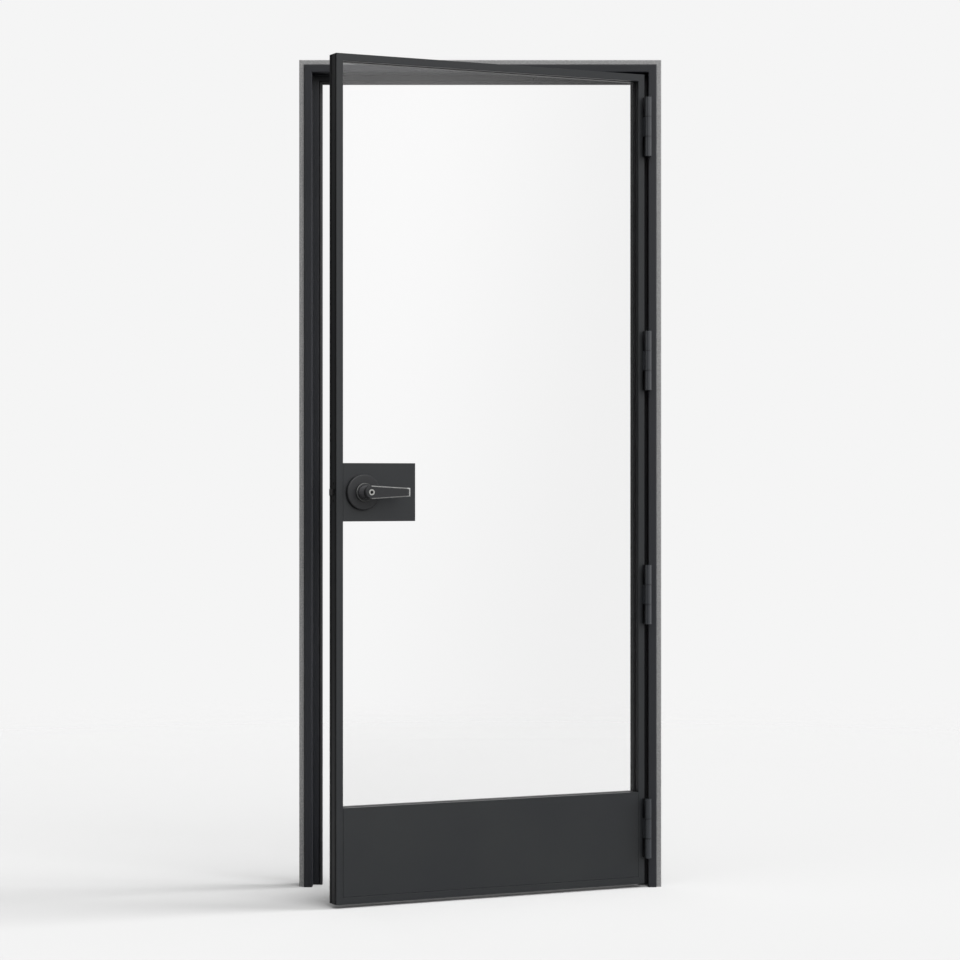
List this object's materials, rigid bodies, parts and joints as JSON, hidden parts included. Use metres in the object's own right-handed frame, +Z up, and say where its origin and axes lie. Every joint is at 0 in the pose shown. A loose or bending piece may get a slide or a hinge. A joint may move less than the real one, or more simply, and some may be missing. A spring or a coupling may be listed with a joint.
{
  "type": "glazed steel swing door with frame",
  "caption": "Narrow-framed steel door with full-height clear glass, kick panel, lever lock and barrel hinges, standing ajar in its three-sided steel frame.",
  "frame": {"origin": "on the floor, midway between the jambs, on the frame's front face (the side the leaf opens to)", "axes": "+X from the lock jamb to the hinge jamb, +Y from the pull side to the push side, +Z up"},
  "size_m": [0.9398, 0.4784, 2.1463],
  "materials": {
    "frame_paint": "matt charcoal",
    "leaf_paint": "matt charcoal",
    "hardware_paint": "satin charcoal",
    "galvanised_steel": "dull galvanised",
    "black_rubber": "matt",
    "satin_steel": "satin",
    "clear_glass": "clear",
    "core_board": "matt board"
  },
  "bodies": {
    "frame": {"lock_jamb": "frame_paint", "hinge_jamb": "frame_paint", "head_jamb": "frame_paint", "lock_subframe": "galvanised_steel", "hinge_subframe": "galvanised_steel", "head_subframe": "galvanised_steel", "lock_jamb_seal": "black_rubber", "hinge_jamb_seal": "black_rubber", "head_seal": "black_rubber", "strike_plate": "hardware_paint", "strike_box": "galvanised_steel", "strike_screws": "satin_steel", "hinge_1_frame_plate": "hardware_paint", "hinge_2_frame_plate": "hardware_paint", "hinge_3_frame_plate": "hardware_paint", "hinge_4_frame_plate": "hardware_paint", "hinge_1_pin": "satin_steel", "hinge_2_pin": "satin_steel", "hinge_3_pin": "satin_steel", "hinge_4_pin": "satin_steel", "hinge_washers": "satin_steel", "hinge_frame_screws": "satin_steel"},
    "leaf": {"lock_stile": "leaf_paint", "hinge_stile": "leaf_paint", "top_rail": "leaf_paint", "bottom_rail": "leaf_paint", "lock_edge_seals": "black_rubber", "hinge_1_leaf_plate": "hardware_paint", "hinge_2_leaf_plate": "hardware_paint", "hinge_3_leaf_plate": "hardware_paint", "hinge_4_leaf_plate": "hardware_paint", "hinge_leaf_screws": "satin_steel", "kick_core": "core_board", "kick_panel_front": "leaf_paint", "kick_panel_back": "leaf_paint", "setting_blocks": "black_rubber", "glass": "clear_glass", "front_gasket": "black_rubber", "back_gasket": "black_rubber", "hinge_side_bead": "leaf_paint", "top_bead": "leaf_paint", "lock_side_upper_bead": "leaf_paint", "lock_side_lower_bead": "leaf_paint", "bead_screws": "satin_steel", "lock_box_front": "leaf_paint", "lock_box_back": "leaf_paint", "lock_chassis": "satin_steel", "latch_case": "satin_steel", "latch_faceplate": "hardware_paint", "faceplate_screws": "satin_steel", "rose_outside": "hardware_paint", "rose_inside": "hardware_paint"},
    "lever_outside": {"lever_outside": "hardware_paint", "spindle_outside": "satin_steel", "key_cylinder": "satin_steel"},
    "key_plug": {"key_plug": "satin_steel"},
    "lever_inside": {"lever_inside": "hardware_paint", "spindle_inside": "satin_steel"},
    "latch_bolt": {"latch_bolt": "satin_steel"}
  },
  "joints": [
    {"name": "leaf_swing", "type": "hinge", "parent": "frame", "child": "leaf", "pos_m": [0.4341, -0.0162, 0], "axis": [0, 0, 1], "range_deg": [-25.5, 94.5]},
    {"name": "lever_outside_turn", "type": "hinge", "parent": "leaf", "child": "lever_outside", "pos_m": [-0.29043, -0.34383, 1.0255], "axis": [-0.4305, 0.9026, 0], "range_deg": [0, 45], "stiffness_Nm_per_rad": 1.2, "springref_deg": -28.65},
    {"name": "lever_inside_turn", "type": "hinge", "parent": "leaf", "child": "lever_inside", "pos_m": [-0.29043, -0.34383, 1.0255], "axis": [-0.4305, 0.9026, 0], "range_deg": [0, 45], "stiffness_Nm_per_rad": 1.2, "springref_deg": -28.65},
    {"name": "key_turn", "type": "hinge", "parent": "lever_outside", "child": "key_plug", "pos_m": [-0.29043, -0.34383, 1.0255], "axis": [-0.4305, 0.9026, 0], "range_deg": [-90, 90]},
    {"name": "latch_slide", "type": "slide", "parent": "leaf", "child": "latch_bolt", "axis": [0.9026, 0.4305, 0], "range_m": [0, 0.0128]}
  ],
  "couplings": [
    {"joint": "latch_slide", "follows": "lever_outside_turn", "m_per_rad": 0.01617}
  ]
}
